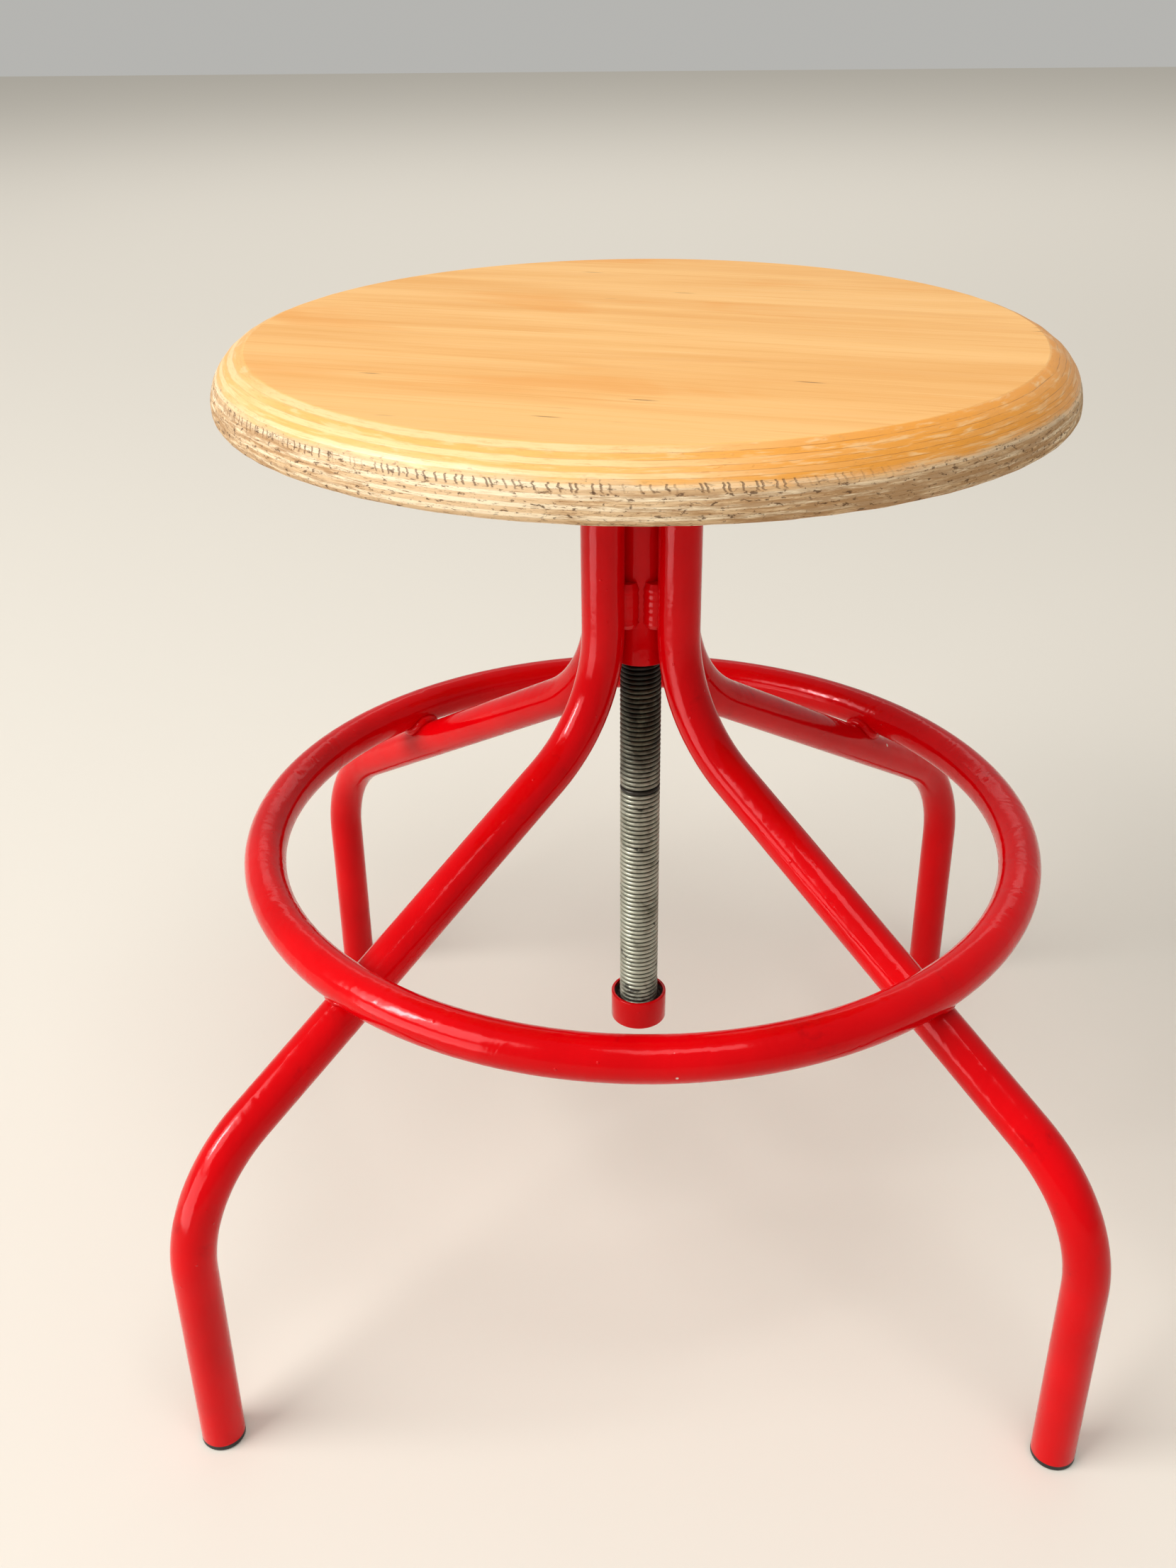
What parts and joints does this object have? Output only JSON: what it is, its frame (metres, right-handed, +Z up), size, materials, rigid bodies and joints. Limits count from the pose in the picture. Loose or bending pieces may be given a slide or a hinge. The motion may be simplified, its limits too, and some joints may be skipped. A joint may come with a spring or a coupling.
{
  "type": "adjustable swivel stool",
  "caption": "Height-adjustable workshop stool: round plywood seat on a screw spindle, held by splayed red tube legs with a foot ring.",
  "frame": {"origin": "on the floor, on the spindle axis, midway between the feet", "axes": "+Z up along the spindle; -Y is the front, with the legs on the diagonals between the X and Y axes"},
  "size_m": [0.404, 0.404, 0.465],
  "materials": {
    "red_lacquer": "gloss",
    "black_plastic": "matte",
    "oiled_steel": "oiled",
    "dark_steel": "dull, greasy",
    "zinc_steel": "zinc plated",
    "varnished_ply": "varnished"
  },
  "bodies": {
    "base": {"leg_front_left": "red_lacquer", "leg_front_right": "red_lacquer", "leg_rear_right": "red_lacquer", "leg_rear_left": "red_lacquer", "foot_ring": "red_lacquer", "hub_tube": "red_lacquer", "spindle_nut": "oiled_steel", "guide_bush": "oiled_steel", "foot_plug_front_left": "black_plastic", "foot_plug_front_right": "black_plastic", "foot_plug_rear_right": "black_plastic", "foot_plug_rear_left": "black_plastic", "ring_weld_front_left": "red_lacquer", "ring_weld_front_right": "red_lacquer", "ring_weld_rear_right": "red_lacquer", "ring_weld_rear_left": "red_lacquer", "hub_weld_front_left": "red_lacquer", "hub_weld_front_right": "red_lacquer", "hub_weld_rear_right": "red_lacquer", "hub_weld_rear_left": "red_lacquer"},
    "stop_collar": {"stop_collar": "red_lacquer", "collar_weld": "dark_steel"},
    "seat": {"spindle": "oiled_steel", "spindle_weld": "dark_steel", "seat_flange": "dark_steel", "seat_screws": "zinc_steel", "seat_board": "varnished_ply"}
  },
  "joints": [
    {"name": "seat_lift", "type": "slide", "parent": "base", "child": "stop_collar", "axis": [0, 0, 1], "range_m": [0, 0.195]},
    {"name": "seat_swivel", "type": "hinge", "parent": "stop_collar", "child": "seat", "pos_m": [0, 0, 0.3], "axis": [0, 0, 1], "range_deg": [0, 28080]}
  ],
  "couplings": [
    {"joint": "seat_lift", "follows": "seat_swivel", "m_per_rad": 0.00039789}
  ]
}
